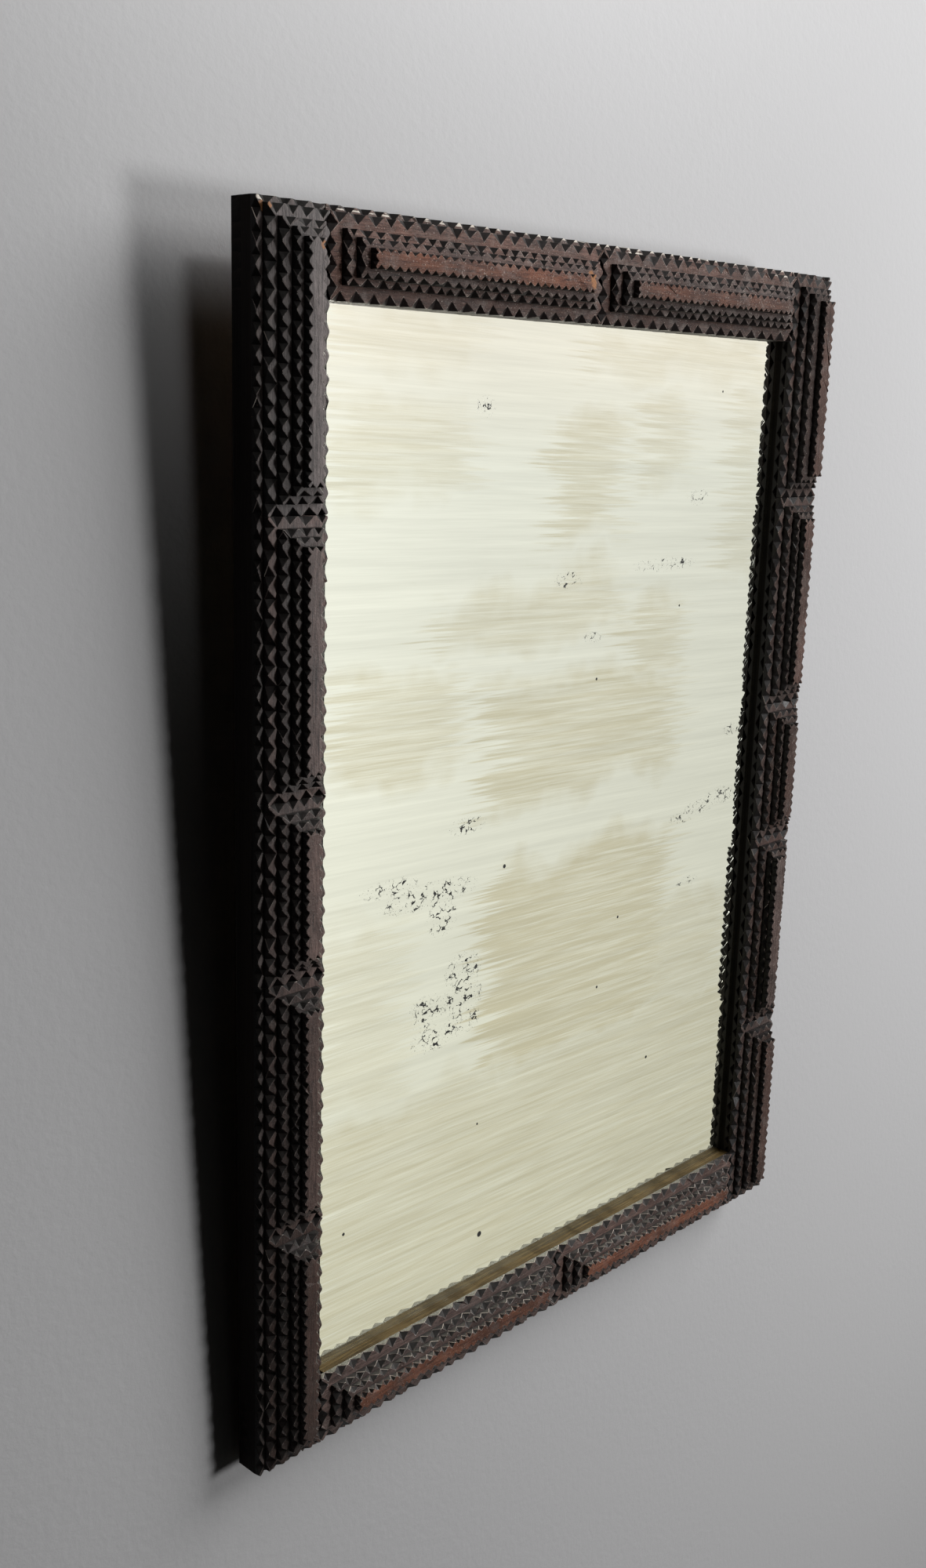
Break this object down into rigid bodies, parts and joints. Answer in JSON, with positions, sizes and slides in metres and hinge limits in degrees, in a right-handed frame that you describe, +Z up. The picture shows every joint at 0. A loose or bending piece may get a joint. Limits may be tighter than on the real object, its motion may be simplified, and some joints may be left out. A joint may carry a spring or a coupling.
{
  "type": "tramp art mirror frame",
  "caption": "Upright wall mirror in a dark wooden frame of stacked, stepped and edge-notched layers, with golden sight slips, hazed old glass and ring hangers behind.",
  "frame": {"origin": "centre of the bottom rail's back face, which bears on the wall", "axes": "+Z up the frame, +Y into the wall so that the mirror faces -Y, +X to the right seen from the front"},
  "size_m": [0.564, 0.0424, 0.762],
  "materials": {
    "stained_wood": "dark stain, satin",
    "cap_wood": "worn brown stain, satin",
    "board_wood": "near-black stain, satin",
    "slip_wood": "golden brown, rubbed",
    "panel_wood": "bare, aged",
    "old_mirror": "hazed silvering",
    "iron": "dull",
    "brass": "tarnished"
  },
  "bodies": {
    "frame": {"left_block_1_base": "stained_wood", "left_block_1_steps": "stained_wood", "left_block_1_cap": "cap_wood", "left_block_2_base": "stained_wood", "left_block_2_steps": "stained_wood", "left_block_2_cap": "cap_wood", "left_block_3_base": "stained_wood", "left_block_3_steps": "stained_wood", "left_block_3_cap": "cap_wood", "left_block_4_base": "stained_wood", "left_block_4_steps": "stained_wood", "left_block_4_cap": "cap_wood", "left_block_5_base": "stained_wood", "left_block_5_steps": "stained_wood", "left_block_5_cap": "cap_wood", "right_block_1_base": "stained_wood", "right_block_1_steps": "stained_wood", "right_block_1_cap": "cap_wood", "right_block_2_base": "stained_wood", "right_block_2_steps": "stained_wood", "right_block_2_cap": "cap_wood", "right_block_3_base": "stained_wood", "right_block_3_steps": "stained_wood", "right_block_3_cap": "cap_wood", "right_block_4_base": "stained_wood", "right_block_4_steps": "stained_wood", "right_block_4_cap": "cap_wood", "right_block_5_base": "stained_wood", "right_block_5_steps": "stained_wood", "right_block_5_cap": "cap_wood", "top_block_1_base": "stained_wood", "top_block_1_steps": "stained_wood", "top_block_1_cap": "cap_wood", "top_block_2_base": "stained_wood", "top_block_2_steps": "stained_wood", "top_block_2_cap": "cap_wood", "bottom_block_1_base": "stained_wood", "bottom_block_1_steps": "stained_wood", "bottom_block_1_cap": "cap_wood", "bottom_block_2_base": "stained_wood", "bottom_block_2_steps": "stained_wood", "bottom_block_2_cap": "cap_wood", "left_stile_board": "board_wood", "right_stile_board": "board_wood", "top_rail_board": "board_wood", "bottom_rail_board": "board_wood", "left_ground_strip": "stained_wood", "right_ground_strip": "stained_wood", "top_ground_strip": "stained_wood", "bottom_ground_strip": "stained_wood", "stile_sight_slips": "slip_wood", "rail_sight_slips": "slip_wood", "mirror_glass": "old_mirror", "back_panel": "panel_wood", "brads": "iron", "hanger_straps": "brass", "hanger_screws": "brass"},
    "left_ring": {"left_hanger_ring": "brass"},
    "right_ring": {"right_hanger_ring": "brass"}
  },
  "joints": [
    {"name": "left_ring_swing", "type": "hinge", "parent": "frame", "child": "left_ring", "pos_m": [-0.2593, 0.00255, 0.551], "axis": [1, 0, 0], "range_deg": [0, 180]},
    {"name": "right_ring_swing", "type": "hinge", "parent": "frame", "child": "right_ring", "pos_m": [0.2593, 0.00255, 0.551], "axis": [1, 0, 0], "range_deg": [0, 180]}
  ]
}
